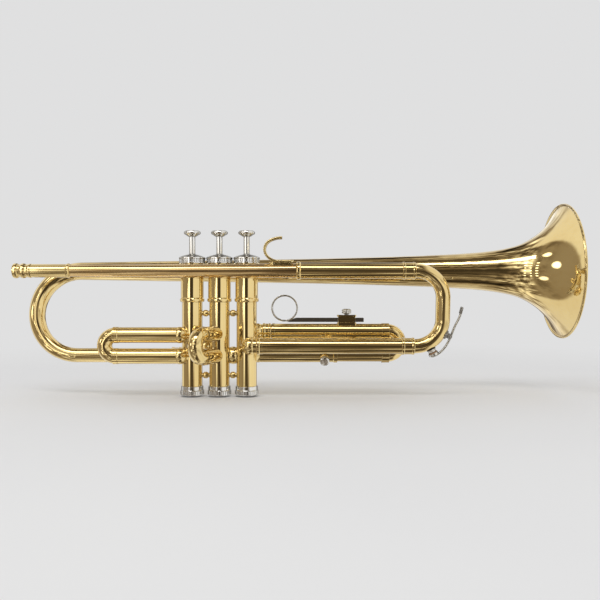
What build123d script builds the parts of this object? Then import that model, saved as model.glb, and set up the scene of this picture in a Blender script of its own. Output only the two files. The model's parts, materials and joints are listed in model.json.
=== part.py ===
"""B flat trumpet, lacquered brass, three piston valves.

Frame: millimetres. The origin is the centre of the mouthpiece receiver's mouth, on the
leadpipe axis. +X runs along the bell axis towards the bell mouth, +Z is up (the way the
valve stems point), +Y is the player's left, where the bell hangs.

A tube that runs along X is placed by its axis, a (y, z) pair. Valves are numbered 0 to 2
from the player's end. Each piece is a section that ends in save().
"""

from build123d import *
from math import sin, cos, radians, atan2, degrees, hypot
import os

os.makedirs("parts", exist_ok=True)

# ---------------------------------------------------------------- driving dimensions
BORE_R = 5.83               # medium large bore, 11.66 mm

# bell
BELL_AXIS = (40.0, 1.2)
BELL_R = 60.3               # radius where the flare meets the rolled rim
BELL_WALL = 0.5
RIM_X = 486.3               # plane of the rolled rim
RIM_BEAD_R = 1.25
RIM_BEAD_BORE_R = 0.85
RIM_WIRE_R = 0.82
BOW_END_X = 47.0            # where the flare becomes the bow
BELL_TAIL_AXIS = (27.5, -74.8)      # lower leg of the bell bow
BOW_R_LARGE = 7.98
BOW_R_SMALL = 6.35
BELL_TAIL_X = 136.0
BELL_ELBOW_X = 143.6

# valve cluster
VALVE_Y = 18.0
VALVE_PITCH = 24.1
VALVE_X = tuple(151.3 + VALVE_PITCH * i for i in range(3))
PISTON_R = 8.30
BARREL_BORE_R = 7.2
CASING_BORE_R = 8.33
CASING_R = 9.0              # lower casing
BALUSTER_R = 10.0           # upper casing
BALUSTER_BORE_R = 8.95
CASING_TOP = 10.5
CASING_STEP = -25.2
CASING_BOTTOM = -102.2
CAP_TOP = 15.2
CAP_R = 11.7
BOTTOM_CAP_END = -109.8
VALVE_STROKE = 15.7
PISTON_TOP = -32.0
PISTON_END = -91.6
BARREL_TOP = 9.4
BARREL_LID_H = 1.4
GUIDE_LOW = -29.0
GUIDE_HIGH = -26.6
STEM_R = 2.7
STEM_TENON_R = 2.0          # lower end of the stem, in the barrel's lid
STEM_TIP_R = 1.5            # upper end of the stem, in the button
BUTTON_LOW = 31.1
BUTTON_R = 7.4
BUTTON_H = 4.9
FELT_H = 2.6
FELT_R = 6.6
PORT_R = 5.3                # hole in a casing
PASSAGE_R = 4.4             # hole through a piston

# slide tubing
OUT_R = 6.85                # outer slide tube
OUT_IN_R = 6.375
IN_R = 6.325                # inner slide leg, 0.05 mm radial running clearance
IN_IN_R = 5.85
BOW_R = 6.3                 # bow of the main tuning slide
VALVE_BOW_R = BOW_R + 0.2   # bow of a valve slide
COLLAR_BORE_R = BOW_R + 0.1
KNUCKLE_ARM_R = 6.25        # arm of a knuckle where it meets its casing
ELBOW_BALL_R = 7.2
SOLDER_FILM = 0.003         # film between a saddled tube end and its casing

# leadpipe and main tuning slide
LEADPIPE_AXIS = (0, 0)
RECEIVER_BORE_R = 4.95
RECEIVER_DEPTH = 24.0
RECEIVER_END = 48.9
LEADPIPE_R0 = 5.05
LEADPIPE_SHANK_R = 5.30     # thickened end soldered inside the receiver
LEADPIPE_R1 = 6.30
LEADPIPE_END = 256.0
UPPER_TUBE_X0 = 245.0
SLIDE_X0 = 335.0            # end of both outer tubes of the main tuning slide
MAIN_LOW_AXIS = (7.0, -65.4)
MAIN_ELBOW_X = 203.0
MAIN_BORE_STEP_X = 220.0    # where the lower tube opens out for the slide leg
MAIN_CORNER_R = 23.6
MAIN_CORNER_X = 347.1
MAIN_LEG_X0 = 264.0
MAIN_BOW_X0 = 341.0

# first, second and third valve slides
FIRST_AXES = ((10.0, -55.8), (10.0, -74.3))
FIRST_ELBOW_X = 141.6
FIRST_X1 = 86.0             # rear end of the fixed tubes
FIRST_INNER_X = FIRST_X1 - 0.4
FIRST_BOW_X = 84.9
SECOND_TILT = 25.0          # degrees the second slide leans back from square
SECOND_Z = (-55.0, -74.0)
SECOND_OUT = 24.0           # end of the fixed tubes, from the valve axis
SECOND_INNER_OUT = 26.0     # end of the inner tubes
SECOND_BOW = 29.5           # start of the bow
THIRD_Y = 27.0
THIRD_Z = (-53.2, -74.2)
THIRD_AXES = tuple((THIRD_Y, z) for z in THIRD_Z)
THIRD_ELBOW_X = 208.7
THIRD_UPPER_X0 = 221.8      # rear end of the moving upper tube
THIRD_LOW_END = 280.0
THIRD_BOW_X = 325.0
THIRD_TUBE_END = THIRD_BOW_X - 2.0

# ------------------------------------------------------------------ working geometry
MAIN_RAKE = atan2(MAIN_LOW_AXIS[0], -MAIN_LOW_AXIS[1])   # lean of the tuning slide's plane
MAIN_SEP = hypot(*MAIN_LOW_AXIS)
# local x runs along +X, local y from the lower leg to the upper, local z to the player's right
SLIDE_PLANE = Plane(origin=(0, 0, 0), x_dir=(1, 0, 0),
                    z_dir=(0, -cos(MAIN_RAKE), -sin(MAIN_RAKE)))
SECOND_DIR = Vector(-sin(radians(SECOND_TILT)), -cos(radians(SECOND_TILT)), 0)
SECOND_ROOT = Vector(VALVE_X[1], VALVE_Y, 0)

# Outside of the bell: (x, radius).
BELL_PROFILE = [
    (BOW_END_X, BOW_R_LARGE), (74, 8.4), (127, 9.3), (175, 9.9), (216, 10.6), (251, 11.2),
    (286, 12.0), (313, 12.65), (340, 13.5), (357, 14.1), (375, 14.9), (393, 15.9),
    (411, 17.3), (429, 19.6), (440, 21.9), (448, 24.4), (456, 28.2), (465, 34.0),
    (473, 41.0), (480, 49.6), (483.4, 55.0), (485.6, 59.2),
]

# Centres of the balls where a tube turns in to its casing.
BELL_ELBOW = (BELL_ELBOW_X, *BELL_TAIL_AXIS)
MAIN_ELBOW = (MAIN_ELBOW_X, *MAIN_LOW_AXIS)
FIRST_ELBOWS = tuple((FIRST_ELBOW_X, *axis) for axis in FIRST_AXES)
THIRD_ELBOWS = tuple((THIRD_ELBOW_X, *axis) for axis in THIRD_AXES)

# Centres of the two balls that join neighbouring casings.
CROSS_Y = VALVE_Y + 3.4
CROSSINGS = tuple(((VALVE_X[i] + VALVE_X[i + 1]) / 2, CROSS_Y, z)
                  for i, z in enumerate((-66.8, -74.4)))

# Far ends of each casing's four ports: in, out, upper slide tube, lower slide tube.
SECOND_PORTS = tuple((VALVE_X[1] + 12 * SECOND_DIR.X, VALVE_Y + 12 * SECOND_DIR.Y, z)
                     for z in SECOND_Z)
PORTS = (
    (CROSSINGS[0], BELL_ELBOW, *FIRST_ELBOWS),
    (CROSSINGS[1], CROSSINGS[0], *SECOND_PORTS),
    (MAIN_ELBOW, CROSSINGS[1], *THIRD_ELBOWS),
)


# ---------------------------------------------------------------------------- helpers
def save(piece, name):
    """Labels a finished piece and writes its STEP file."""
    piece.part.label = name
    export_step(piece.part, f"parts/{name}.step")


def x_plane(x, y, z):
    """Plane square to the bell axis, its normal along +X."""
    return Plane(origin=(x, y, z), x_dir=(0, 1, 0), z_dir=(1, 0, 0))


def x_section(axis):
    """Plane through a (y, z) axis: local x is world X, local y is up."""
    return Plane(origin=(0, *axis), x_dir=(1, 0, 0), z_dir=(0, -1, 0))


def z_section(x):
    """Plane through an upright axis in the valves' row: local x is world Z."""
    return Plane(origin=(x, VALVE_Y, 0), x_dir=(0, 0, 1), z_dir=(0, 1, 0))


def second_plane(reach, z):
    """Plane square to the second slide, reach out from the valve's axis."""
    point = SECOND_ROOT + SECOND_DIR * reach
    return Plane(origin=(point.X, point.Y, z), x_dir=(0, 0, 1), z_dir=SECOND_DIR)


def tube(plane, length, outer, inner=None, mode=Mode.ADD):
    """Straight tube, or a rod with no inner radius, standing on a plane."""
    with BuildSketch(plane) as ring:
        Circle(outer)
        if inner:
            Circle(inner, mode=Mode.SUBTRACT)
    extrude(ring.sketch, amount=length, mode=mode)


def x_tube(x0, x1, axis, outer, inner=None, mode=Mode.ADD):
    """Tube or rod along X, from x0 to x1."""
    tube(x_plane(x0, *axis), x1 - x0, outer, inner, mode)


def x_bore(x0, x1, axis, radius):
    x_tube(x0, x1, axis, radius, mode=Mode.SUBTRACT)


def turned(axis_plane, points, mode=Mode.ADD):
    """Solid turned about axis_plane's local x axis from (along, radius) points."""
    with BuildSketch(axis_plane) as section:
        with BuildLine():
            Polyline(*points, close=True)
        make_face()
    axis = Axis(axis_plane.origin, axis_plane.x_dir)
    revolve(section.sketch, axis=axis, mode=mode)


def ball(x, y, z, radius, mode=Mode.ADD, seam=90.0):
    """Sphere whose seam points seam degrees round from +X, clear of what joins it."""
    with Locations(Location((x, y, z), (0, 0, seam))):
        Sphere(radius, mode=mode)


def rod_between(start, end, radius, mode=Mode.ADD):
    start, end = Vector(*start), Vector(*end)
    with BuildSketch(Plane(origin=start, z_dir=(end - start).normalized())) as disc:
        Circle(radius)
    extrude(disc.sketch, amount=(end - start).length, mode=mode)


def casing_void(valve, radius=CASING_R, joint=None):
    """Removes the space a casing fills, its seam facing away from the joint (or from +Y)."""
    toward = (joint[0] - VALVE_X[valve], joint[1] - VALVE_Y) if joint else (0.0, 1.0)
    tube(Plane(origin=(VALVE_X[valve], VALVE_Y, -120), x_dir=(-toward[0], -toward[1], 0),
               z_dir=(0, 0, 1)), 150, radius + SOLDER_FILM, mode=Mode.SUBTRACT)


def off_axis(valve, point, reach):
    """Point at the same height as point, reach from the valve's axis towards it."""
    x, y, z = point
    offset = Vector(x - VALVE_X[valve], y - VALVE_Y, 0).normalized() * reach
    return (VALVE_X[valve] + offset.X, VALVE_Y + offset.Y, z)


def elbow_seam(centre, valve, leg):
    """Direction in degrees that faces away from both arms of an elbow."""
    inward = Vector(VALVE_X[valve] - centre[0], VALVE_Y - centre[1], 0).normalized()
    away = (inward + Vector(leg, 0, 0)) * -1
    return degrees(atan2(away.Y, away.X))


def elbow(centre, valve, leg, ball_r=ELBOW_BALL_R):
    """Knuckle that turns a tube running in X in to a casing; leg is the tube's X sign."""
    ball(*centre, ball_r, seam=elbow_seam(centre, valve, leg))
    rod_between(centre, off_axis(valve, centre, 5.0), KNUCKLE_ARM_R)


def elbow_bore(centre, valve, leg):
    ball(*centre, BORE_R + 0.15, mode=Mode.SUBTRACT, seam=elbow_seam(centre, valve, leg))
    rod_between(centre, off_axis(valve, centre, 2.0), BORE_R - 0.1, mode=Mode.SUBTRACT)


def bent_tube(path, start_plane, outer, inner):
    with BuildSketch(start_plane) as ring:
        Circle(outer)
        Circle(inner, mode=Mode.SUBTRACT)
    sweep(ring.sketch, path=path)


def return_bow(start_plane, heights):
    """Half-turn bow of a valve slide, from the upper height down to the lower."""
    drop = heights[0] - heights[1]
    start = start_plane.origin
    with BuildLine() as path:
        ThreePointArc(start, start + start_plane.z_dir * (drop / 2) - Vector(0, 0, drop / 2),
                      start - Vector(0, 0, drop))
    bent_tube(path.line, start_plane, VALVE_BOW_R, IN_IN_R)


def coil(wire_r, **helix):
    """Coil of round wire along a helix."""
    with BuildLine() as turns:
        Helix(**helix)
    with BuildSketch(Plane(origin=turns.line @ 0, z_dir=turns.line % 0)) as strand:
        Circle(wire_r)
    sweep(strand.sketch, path=turns.line, is_frenet=True)


def knurl(plane, radius, count, height, start_angle):
    """Cuts a ring of round flutes standing on a plane."""
    with BuildSketch(plane) as flutes:
        with PolarLocations(radius, count, start_angle=start_angle):
            Circle(0.5)
    extrude(flutes.sketch, amount=height, mode=Mode.SUBTRACT)


def knurled_screw(stand, tip, seat, shank_r, head_r, head_h):
    """Thumb screw: stand's local x runs out of the seat; tip < seat < head end."""
    end = seat + head_h
    neck_r = 0.45 * head_r
    turned(stand, [
        (tip, 0), (tip, shank_r), (seat, shank_r), (seat, neck_r), (seat + 0.9, neck_r),
        (seat + 1.3, head_r - 0.7), (seat + 1.5, head_r), (end - 0.9, head_r),
        (end - 0.4, head_r - 0.5), (end, head_r - 1.4), (end + 0.1, 0)])
    floor = stand.origin + stand.x_dir * (seat + 1.2)
    knurl(Plane(origin=floor, x_dir=stand.z_dir, z_dir=stand.x_dir),
          radius=head_r + 0.15, count=18, height=head_h, start_angle=3.0)


def leadpipe_radius(x):
    taper = (x - RECEIVER_END) / (UPPER_TUBE_X0 - RECEIVER_END)
    return LEADPIPE_R0 + (LEADPIPE_R1 - LEADPIPE_R0) * taper


def leadpipe_void(x0, x1):
    """Removes the space the leadpipe fills between two stations."""
    turned(x_section(LEADPIPE_AXIS), [
        (x0, 0), (x0, leadpipe_radius(x0) + 0.01), (x1, leadpipe_radius(x1) + 0.01), (x1, 0)],
        mode=Mode.SUBTRACT)


def bell_radius(x):
    """Outside radius of the bell, by straight lines between the profile's stations."""
    for (xa, ra), (xb, rb) in zip(BELL_PROFILE, BELL_PROFILE[1:]):
        if xa <= x <= xb:
            return ra + (rb - ra) * (x - xa) / (xb - xa)


# ---------------------------------------------------------------- receiver, leadpipe
with BuildPart() as mouthpiece_receiver:
    turned(x_section(LEADPIPE_AXIS), [
        (0, RECEIVER_BORE_R), (0, 5.7), (0.4, 6.2), (1.2, 6.5), (2.8, 6.5), (3.8, 6.1),
        (4.5, 5.65), (6.0, 5.6), (6.8, 6.0), (7.7, 6.4), (9.2, 6.4), (10.2, 6.0),
        (11.0, 5.65), (12.4, 5.65), (13.0, 5.9), (13.8, 6.05), (14.8, 6.05), (15.6, 5.75),
        (45.6, 5.75), (46.0, 6.1), (46.8, 6.35), (48.0, 6.35), (48.7, 6.0),
        (RECEIVER_END, 5.5), (RECEIVER_END, LEADPIPE_SHANK_R),
        (RECEIVER_DEPTH, LEADPIPE_SHANK_R), (RECEIVER_DEPTH, RECEIVER_BORE_R)])
save(mouthpiece_receiver, "mouthpiece_receiver")

with BuildPart() as leadpipe:
    turned(x_section(LEADPIPE_AXIS), [
        (RECEIVER_DEPTH + 0.1, 4.38), (RECEIVER_DEPTH + 0.1, LEADPIPE_SHANK_R),
        (RECEIVER_END, LEADPIPE_SHANK_R), (RECEIVER_END, LEADPIPE_R0),
        (UPPER_TUBE_X0, LEADPIPE_R1), (LEADPIPE_END, LEADPIPE_R1),
        (LEADPIPE_END, BORE_R), (UPPER_TUBE_X0, BORE_R), (60, 4.42)])
save(leadpipe, "leadpipe")

with BuildPart() as leadpipe_ferrule:
    turned(x_section(LEADPIPE_AXIS), [
        (243.6, LEADPIPE_R1), (243.6, 6.9), (244.1, 7.5), (244.8, 7.75), (246.4, 7.75),
        (247.1, 7.5), (247.6, 7.0), (247.6, OUT_R), (UPPER_TUBE_X0, OUT_R),
        (UPPER_TUBE_X0, LEADPIPE_R1)])
save(leadpipe_ferrule, "leadpipe_ferrule")

with BuildPart() as upper_outer_tube:
    x_tube(UPPER_TUBE_X0, SLIDE_X0, LEADPIPE_AXIS, OUT_R, OUT_IN_R)
    # narrower end that holds the leadpipe
    x_tube(UPPER_TUBE_X0, LEADPIPE_END, LEADPIPE_AXIS, OUT_R, LEADPIPE_R1)
save(upper_outer_tube, "upper_outer_tube")

with BuildPart() as lower_outer_tube:
    x_tube(MAIN_ELBOW_X, SLIDE_X0, MAIN_LOW_AXIS, OUT_R)
    elbow(MAIN_ELBOW, 2, 1, ball_r=7.5)
    turned(x_section(MAIN_LOW_AXIS), [
        (209.0, 6.0), (209.0, 7.1), (209.8, 7.5), (211.2, 7.5), (212.0, 7.1), (214.0, 7.1),
        (214.0, 6.0)])
    x_bore(MAIN_BORE_STEP_X, SLIDE_X0, MAIN_LOW_AXIS, OUT_IN_R)
    x_bore(MAIN_ELBOW_X, MAIN_BORE_STEP_X, MAIN_LOW_AXIS, BORE_R)
    elbow_bore(MAIN_ELBOW, 2, 1)
    casing_void(2, joint=MAIN_ELBOW)
save(lower_outer_tube, "lower_outer_tube")

# ------------------------------------------------------------------------------- bell
BELL_SECTION = x_section(BELL_AXIS)
BELL_TURN_AXIS = Axis((0, *BELL_AXIS), (1, 0, 0))
RIM_CENTRE = (RIM_X - 0.35, BELL_R)

# inside of the flare: each station moved in by the wall, square to the chord of its neighbours
inner_profile = [(BOW_END_X, BOW_R_LARGE - BELL_WALL)]
for before, (x, radius), after in zip(BELL_PROFILE, BELL_PROFILE[1:],
                                      BELL_PROFILE[2:] + BELL_PROFILE[-1:]):
    dx, dr = after[0] - before[0], after[1] - before[1]
    chord = hypot(dx, dr)
    inner_profile.append((x + BELL_WALL * dr / chord, radius - BELL_WALL * dx / chord))

# centre line of the bell bow: a half turn, its lower end leaning in to the first valve
bow_upper = Vector(BOW_END_X, *BELL_AXIS)
bow_lower = Vector(BOW_END_X, *BELL_TAIL_AXIS)
BELL_BOW_CENTRE = (bow_upper + bow_lower) * 0.5
BELL_BOW_BEND_R = (bow_upper - bow_lower).length / 2
BELL_BOW_RISE = (bow_upper - bow_lower).normalized()
BACKWARD = Vector(-1, 0, 0)

# Stations of the bell bow: (degrees from its upper end, outside radius).
BELL_BOW_STATIONS = [(0, BOW_R_LARGE), (45, 7.6), (90, 7.15), (135, 6.7), (180, BOW_R_SMALL)]


def bell_bow_point(deg):
    return (BELL_BOW_CENTRE + BELL_BOW_RISE * (BELL_BOW_BEND_R * cos(radians(deg)))
            + BACKWARD * (BELL_BOW_BEND_R * sin(radians(deg))))


def bell_bow_disc(deg, radius):
    """Disc square to the bow's centre line."""
    tangent = BELL_BOW_RISE * (-sin(radians(deg))) + BACKWARD * cos(radians(deg))
    plane = Plane(origin=bell_bow_point(deg), x_dir=BELL_BOW_RISE.cross(Vector(1, 0, 0)),
                  z_dir=tangent)
    with BuildSketch(plane, mode=Mode.PRIVATE) as disc:
        Circle(radius)
    return disc.sketch.face()


with BuildPart() as bell:
    with BuildSketch(BELL_SECTION) as flare:
        with BuildLine():
            Spline(*BELL_PROFILE)
            Line(BELL_PROFILE[-1], inner_profile[-1])
            Spline(*reversed(inner_profile))
            Line(inner_profile[0], BELL_PROFILE[0])
        make_face()
    revolve(flare.sketch, axis=BELL_TURN_AXIS)
    # hollow rim bead, cut by a narrow slot on its rear side
    with BuildSketch(BELL_SECTION) as bead:
        with Locations(RIM_CENTRE):
            Circle(RIM_BEAD_R)
            Circle(RIM_BEAD_BORE_R, mode=Mode.SUBTRACT)
            with Locations((-1.0, 0.4)):
                Rectangle(1.2, 0.3, mode=Mode.SUBTRACT)
    revolve(bead.sketch, axis=BELL_TURN_AXIS)
    with BuildLine() as bow_path:
        ThreePointArc(bell_bow_point(0), bell_bow_point(90), bell_bow_point(180))
    outer_discs = [bell_bow_disc(deg, radius) for deg, radius in BELL_BOW_STATIONS]
    inner_discs = [bell_bow_disc(deg, radius - BELL_WALL) for deg, radius in BELL_BOW_STATIONS]
    sweep(outer_discs, path=bow_path.line, multisection=True)
    sweep(inner_discs, path=bow_path.line, multisection=True, mode=Mode.SUBTRACT)
    x_tube(BOW_END_X, BELL_TAIL_X, BELL_TAIL_AXIS, BOW_R_SMALL, BOW_R_SMALL - BELL_WALL)
save(bell, "bell")

with BuildPart() as bell_rim_wire:
    with BuildSketch(BELL_SECTION) as wire:
        with Locations(RIM_CENTRE):
            Circle(RIM_WIRE_R)
    revolve(wire.sketch, axis=BELL_TURN_AXIS)
save(bell_rim_wire, "bell_rim_wire")

with BuildPart() as bell_knuckle:
    x_tube(BELL_TAIL_X, BELL_ELBOW_X, BELL_TAIL_AXIS, 6.9)
    # two-beaded ferrule over the end of the bell's tail
    turned(x_section(BELL_TAIL_AXIS), [
        (131.6, BOW_R_SMALL), (131.6, 6.9), (132.2, 7.35), (133.6, 7.35), (134.2, 7.0),
        (137.8, 7.0), (138.4, 7.45), (139.8, 7.45), (140.4, 7.1), (140.4, 6.0),
        (BELL_TAIL_X, 6.0), (BELL_TAIL_X, BOW_R_SMALL)])
    elbow(BELL_ELBOW, 0, -1)
    x_bore(BELL_TAIL_X - 0.01, BELL_ELBOW_X - 0.01, BELL_TAIL_AXIS, BORE_R)
    elbow_bore(BELL_ELBOW, 0, -1)
    casing_void(0, joint=BELL_ELBOW)
save(bell_knuckle, "bell_knuckle")

# -------------------------------------------------------------------- valve casings
# Casing with its step ring and bore: (z, radius).
CASING_PROFILE = [
    (CASING_BOTTOM, CASING_BORE_R), (CASING_BOTTOM, CASING_R), (CASING_STEP - 1.9, CASING_R),
    (CASING_STEP - 1.5, 10.3), (CASING_STEP - 0.5, 10.75), (CASING_STEP + 0.7, 10.75),
    (CASING_STEP + 1.5, 10.4), (CASING_STEP + 1.9, BALUSTER_R), (CASING_TOP, BALUSTER_R),
    (CASING_TOP, BALUSTER_BORE_R), (GUIDE_LOW, BALUSTER_BORE_R), (GUIDE_LOW, CASING_BORE_R)]
BOSS_Z = -91.0              # small round boss on the +Y side of the middle casing
BOSS_R = 2.3

for valve, x in enumerate(VALVE_X):
    with BuildPart() as valve_casing:
        turned(z_section(x), CASING_PROFILE)
        for port in PORTS[valve]:
            rod_between((x, VALVE_Y, port[2]), off_axis(valve, port, 11.5), PORT_R,
                        mode=Mode.SUBTRACT)
        if valve == 1:
            rod_between((x, VALVE_Y + 8.8, BOSS_Z), (x, VALVE_Y + 10.6, BOSS_Z), BOSS_R)
    save(valve_casing, f"valve_casing_{valve + 1}")

with BuildPart() as crossing_tubes:
    for x, y, z in CROSSINGS:
        ball(x, y, z, 7.9)
        x_tube(x - 11.0, x + 11.0, (y, z), 6.4)
    for x, y, z in CROSSINGS:
        ball(x, y, z, 6.9, mode=Mode.SUBTRACT)
        x_bore(x - VALVE_PITCH / 2, x + VALVE_PITCH / 2, (y, z), 5.6)
    for valve in range(3):
        casing_void(valve)
save(crossing_tubes, "crossing_tubes")


def ball_brace(middle, direction, half, side):
    """Turned brace with a ball at its middle, along direction."""
    turned(Plane(origin=middle, x_dir=direction, z_dir=side), [
        (-half, 0), (-half, 2.0), (-2.2, 2.0), (-1.9, 2.5), (-1.2, 2.9), (-0.4, 3.05),
        (0.4, 3.05), (1.2, 2.9), (1.9, 2.5), (2.2, 2.0), (half, 2.0), (half, 0)])


BRACE_X = 272.5             # brace between the third slide's fixed tube and the lower tube
CASING_BRACE_Z = (-36.9, -91.7)
with BuildPart() as ball_braces:
    for x, _, _ in CROSSINGS:
        for z in CASING_BRACE_Z:
            ball_brace((x, VALVE_Y, z), (1, 0, 0), 4.2, (0, -1, 0))
    for valve in range(3):
        casing_void(valve)
    third_end = Vector(BRACE_X, *THIRD_AXES[1])
    main_end = Vector(BRACE_X, *MAIN_LOW_AXIS)
    ball_brace((third_end + main_end) * 0.5, (main_end - third_end).normalized(), 5.0,
               (1, 0, 0))
    for axis in (THIRD_AXES[1], MAIN_LOW_AXIS):
        x_bore(BRACE_X - 8, BRACE_X + 8, axis, OUT_R)
save(ball_braces, "ball_braces")

# ----------------------------------------------------------------------- valve caps
with BuildPart() as top_caps:
    for x in VALVE_X:
        turned(z_section(x), [
            (7.0, BALUSTER_R), (7.0, CAP_R - 0.35), (7.35, CAP_R), (8.1, CAP_R),
            (8.4, CAP_R - 0.3), (11.2, CAP_R - 0.3), (11.5, CAP_R), (12.2, CAP_R),
            (12.7, CAP_R - 0.5), (13.2, 10.2), (13.9, 8.6), (14.5, 6.6), (14.8, 5.0),
            (15.0, 4.6), (CAP_TOP, 4.2), (CAP_TOP, 2.9), (12.2, 2.9), (12.2, 8.6),
            (10.6, 8.6), (10.6, BALUSTER_R)])
        knurl(Plane(origin=(x, VALVE_Y, 8.4)), radius=CAP_R - 0.15, count=34, height=2.8,
              start_angle=2.0)
save(top_caps, "top_caps")

with BuildPart() as bottom_caps:
    for x in VALVE_X:
        turned(z_section(x), [
            (-101.2, CASING_R), (-101.2, 9.5), (-101.5, 9.8), (-104.6, 9.8), (-104.9, 10.0),
            (-105.2, 10.45), (-108.5, 10.45), (-109.0, 10.0), (-109.3, 8.8), (-109.4, 3.2),
            (BOTTOM_CAP_END, 2.8), (BOTTOM_CAP_END, 1.6), (-107.9, 1.6), (-107.9, 8.6),
            (CASING_BOTTOM, 8.6), (CASING_BOTTOM, CASING_R)])
        knurl(Plane(origin=(x, VALVE_Y, -108.7)), radius=10.65, count=32, height=3.7,
              start_angle=2.0)
save(bottom_caps, "bottom_caps")

# ----------------------------------------------------------------- guides and pistons
with BuildPart() as valve_guides:
    # star plates on the casing's shoulder, through the slots of the piston's barrel
    for x in VALVE_X:
        with BuildSketch(Plane(origin=(x, VALVE_Y, GUIDE_LOW))) as star:
            Circle(6.9)
            Rectangle(17.4, 3.4)
            Circle(2.0, mode=Mode.SUBTRACT)
        extrude(star.sketch, amount=GUIDE_HIGH - GUIDE_LOW)
save(valve_guides, "valve_guides")

BARREL_LID = BARREL_TOP - BARREL_LID_H
PASSAGE_REACH = 9.6         # end of a passage's bore, from the valve axis
SLOT_PLAY = 0.3             # above and below the guide over its travel


def lifted(port):
    """Port's place on the piston for the pressed valve: one stroke higher."""
    x, y, z = port
    return (x, y, z + VALVE_STROKE)


# Pistons: three straight passages, and a slotted spring barrel on top.
for valve, x in enumerate(VALVE_X):
    port_in, port_out, port_upper, port_lower = PORTS[valve]
    passages = (
        (port_in, port_out),
        (lifted(port_in), lifted(port_upper)),
        (lifted(port_out), lifted(port_lower)),
    )
    with BuildPart() as piston:
        turned(z_section(x), [
            (PISTON_END, 0), (PISTON_END, PISTON_R), (BARREL_TOP, PISTON_R),
            (BARREL_TOP, STEM_TENON_R), (BARREL_LID, STEM_TENON_R),
            (BARREL_LID, BARREL_BORE_R), (PISTON_TOP, BARREL_BORE_R), (PISTON_TOP, 0)])
        for start, end in passages:
            rod_between(off_axis(valve, start, PASSAGE_REACH),
                        off_axis(valve, end, PASSAGE_REACH), PASSAGE_R, mode=Mode.SUBTRACT)
        with BuildSketch(Plane(origin=(x, VALVE_Y, GUIDE_LOW - SLOT_PLAY))) as slot:
            Rectangle(18.0, 3.6)
        extrude(slot.sketch, amount=GUIDE_HIGH - GUIDE_LOW + VALVE_STROKE + 2 * SLOT_PLAY,
                mode=Mode.SUBTRACT)
    save(piston, f"piston_{valve + 1}")

# ------------------------------------------------------- stems, buttons, felts, springs
BUTTON_SEAT = BUTTON_LOW + 2.6      # end of the stem inside the button
INLAY_SEAT = BUTTON_LOW + 3.4
INLAY_R = 5.88
SPRING_LOW = GUIDE_HIGH + 0.45
SPRING_H = BARREL_LID - 0.45 - SPRING_LOW
SPRING_TURNS = 9

# Outlines as (z, radius).
STEM_PROFILE = [
    (BARREL_LID, 0), (BARREL_LID, STEM_TENON_R), (BARREL_TOP, STEM_TENON_R),
    (BARREL_TOP, STEM_R), (BUTTON_LOW, STEM_R), (BUTTON_LOW, STEM_TIP_R),
    (BUTTON_SEAT, STEM_TIP_R), (BUTTON_SEAT, 0)]
BUTTON_PROFILE = [
    (BUTTON_LOW, STEM_TIP_R), (BUTTON_LOW, 3.6), (BUTTON_LOW + 0.5, 4.6),
    (BUTTON_LOW + 1.3, 5.6), (BUTTON_LOW + 2.0, 6.9), (BUTTON_LOW + 2.5, BUTTON_R - 0.1),
    (BUTTON_LOW + 3.0, BUTTON_R), (BUTTON_LOW + 3.6, BUTTON_R),
    (BUTTON_LOW + 4.2, BUTTON_R - 0.25), (BUTTON_LOW + 4.7, BUTTON_R - 0.8),
    (BUTTON_LOW + BUTTON_H, 6.3), (BUTTON_LOW + BUTTON_H - 0.1, 5.9), (INLAY_SEAT, 5.9),
    (INLAY_SEAT, 0), (BUTTON_SEAT, 0), (BUTTON_SEAT, STEM_TIP_R)]
INLAY_PROFILE = [
    (INLAY_SEAT, 0), (INLAY_SEAT, INLAY_R), (BUTTON_LOW + 4.5, INLAY_R),
    (BUTTON_LOW + 4.35, 4.4), (BUTTON_LOW + 4.2, 2.4), (BUTTON_LOW + 4.15, 0)]

for number, x in enumerate(VALVE_X, start=1):
    for name, profile in (("valve_stem", STEM_PROFILE), ("finger_button", BUTTON_PROFILE),
                          ("button_inlay", INLAY_PROFILE)):
        with BuildPart() as turned_piece:
            turned(z_section(x), profile)
        save(turned_piece, f"{name}_{number}")

    with BuildPart() as valve_felt:
        # washer on the barrel that quiets the return stroke under the top cap
        tube(Plane(origin=(x, VALVE_Y, BARREL_TOP)), FELT_H, FELT_R, STEM_R)
    save(valve_felt, f"valve_felt_{number}")

    with BuildPart() as valve_spring:
        # between the guide and the lid of the barrel
        coil(0.4, pitch=SPRING_H / SPRING_TURNS, height=SPRING_H, radius=5.6,
             center=(x, VALVE_Y, SPRING_LOW))
    save(valve_spring, f"valve_spring_{number}")

# ------------------------------------------------------------------------ first slide
with BuildPart() as first_slide_outer_tubes:
    for axis, centre in zip(FIRST_AXES, FIRST_ELBOWS):
        x_tube(FIRST_X1, FIRST_ELBOW_X, axis, OUT_R)
        elbow(centre, 0, -1)
        turned(x_section(axis), [
            (FIRST_X1, 6.0), (FIRST_X1, 7.1), (FIRST_X1 + 1.6, 7.1), (FIRST_X1 + 2.2, OUT_R),
            (FIRST_X1 + 2.2, 6.0)])
    for axis, centre in zip(FIRST_AXES, FIRST_ELBOWS):
        x_bore(FIRST_X1, 131.0, axis, OUT_IN_R)
        x_bore(130.5, FIRST_ELBOW_X, axis, BORE_R)
        elbow_bore(centre, 0, -1)
    casing_void(0, joint=FIRST_ELBOWS[0])
save(first_slide_outer_tubes, "first_slide_outer_tubes")

with BuildPart() as first_slide_inner_tubes:
    for axis in FIRST_AXES:
        x_tube(FIRST_INNER_X, FIRST_INNER_X + 42.0, axis, IN_R, IN_IN_R)
save(first_slide_inner_tubes, "first_slide_inner_tubes")

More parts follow.
